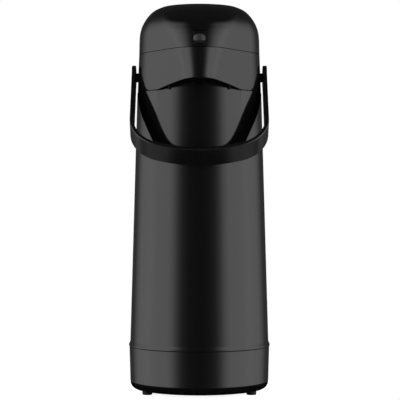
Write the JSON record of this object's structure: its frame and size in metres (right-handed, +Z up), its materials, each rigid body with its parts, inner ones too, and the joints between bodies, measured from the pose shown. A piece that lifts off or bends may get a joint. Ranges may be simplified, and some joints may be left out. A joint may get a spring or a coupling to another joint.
{
  "type": "airpot",
  "caption": "Slim glossy black airpot: tapered vacuum flask with beaked flip-top pump lid, round push button, lid latch, spout under the beak and swinging carry handle.",
  "frame": {"origin": "on the flask's upright axis, on the table plane under its three rubber feet", "axes": "+Z up along the flask's axis, -Y towards the spout and beak (the front), +X to the right seen from the front"},
  "size_m": [0.1264, 0.1507, 0.344],
  "materials": {
    "shell_black": "polished mirror-gloss black ABS",
    "handle_black": "black polypropylene, satin gloss",
    "button_black": "polished black ABS, gloss",
    "inner_black": "plain moulded black polypropylene",
    "mouth_plastic": "food-grade natural polypropylene",
    "pipe_plastic": "translucent natural polypropylene tube",
    "liner_glass": "clear borosilicate glass",
    "silvered_glass": "silvered borosilicate glass",
    "seal_rubber": "grey silicone rubber",
    "bellows_rubber": "black moulded elastomer",
    "foot_rubber": "matt black rubber",
    "spring_steel": "bright drawn stainless steel"
  },
  "bodies": {
    "flask": {"outer_body": "shell_black", "base_cap": "shell_black", "rubber_feet": "foot_rubber", "liner_support_cup": "seal_rubber", "liner_outer_glass": "liner_glass", "liner_inner_glass": "silvered_glass", "neck_ring": "inner_black", "neck_gasket": "seal_rubber", "mouth_funnel": "mouth_plastic", "deck_screws": "spring_steel", "pipe_grommet": "seal_rubber", "head_housing": "shell_black", "beak_floor": "inner_black", "lid_hinge_pin": "spring_steel", "handle_pivots": "handle_black", "dip_tube": "pipe_plastic", "tip_valve_cage": "pipe_plastic", "spout_pipe": "pipe_plastic", "spout_nozzle": "inner_black"},
    "valve_ball": {"valve_ball": "spring_steel"},
    "lid": {"lid_shell": "shell_black", "lid_inner_cover": "inner_black", "lid_screws": "spring_steel", "lid_seal": "seal_rubber", "air_valve_flap": "seal_rubber", "pump_bellows": "bellows_rubber", "bellows_clamp": "inner_black", "return_spring": "spring_steel"},
    "button": {"pump_button": "button_black", "pusher_plate": "inner_black", "intake_flap": "seal_rubber"},
    "lock": {"lock_slide": "handle_black"},
    "latch": {"lid_latch": "button_black"},
    "handle": {"carry_handle": "handle_black"}
  },
  "joints": [
    {"name": "lid_hinge", "type": "hinge", "parent": "flask", "child": "lid", "pos_m": [0, 0.0586, 0.3019], "axis": [-1, 0, 0], "range_deg": [0, 85]},
    {"name": "pump_press", "type": "slide", "parent": "lid", "child": "button", "axis": [0, 0, 1], "range_m": [0, 0.026], "deforming": ["pump_bellows", "return_spring"]},
    {"name": "lock_shift", "type": "slide", "parent": "button", "child": "lock", "axis": [0, 1, 0], "range_m": [0, 0.005]},
    {"name": "latch_press", "type": "slide", "parent": "lid", "child": "latch", "axis": [0, 1, 0], "range_m": [0, 0.0025], "stiffness_N_per_m": 200},
    {"name": "ball_lift", "type": "slide", "parent": "flask", "child": "valve_ball", "axis": [0, 0, 1], "range_m": [0, 0.0033]},
    {"name": "handle_swing", "type": "hinge", "parent": "flask", "child": "handle", "pos_m": [0, 0, 0.2816], "axis": [-1, 0, 0], "range_deg": [0, 274.6]}
  ]
}
